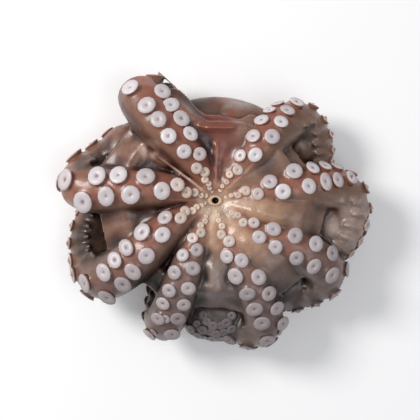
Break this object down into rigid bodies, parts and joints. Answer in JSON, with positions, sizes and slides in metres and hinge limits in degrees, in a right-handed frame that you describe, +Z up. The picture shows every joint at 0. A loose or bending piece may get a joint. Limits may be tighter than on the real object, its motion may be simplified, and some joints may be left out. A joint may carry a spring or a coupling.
{
  "type": "whole raw octopus",
  "caption": "Whole raw octopus lying mouth up in flower shape: arms with two rows of suckers run out over the web, bend over the rim and tuck under round the folded mantle.",
  "frame": {"origin": "on the surface it rests on, straight below the mouth", "axes": "+Z up, the way the mouth faces; +Y towards the gap between the two upper arms; +X to the right as seen from above"},
  "size_m": [0.2623, 0.2313, 0.0834],
  "materials": {
    "skin": "wet raw octopus skin, red-brown to grey-brown, soft gloss",
    "suckers": "moist pale lilac flesh",
    "beak": "dark brown horn"
  },
  "bodies": {
    "root": {"octopus": "skin", "beak": "beak"}
  },
  "joints": []
}
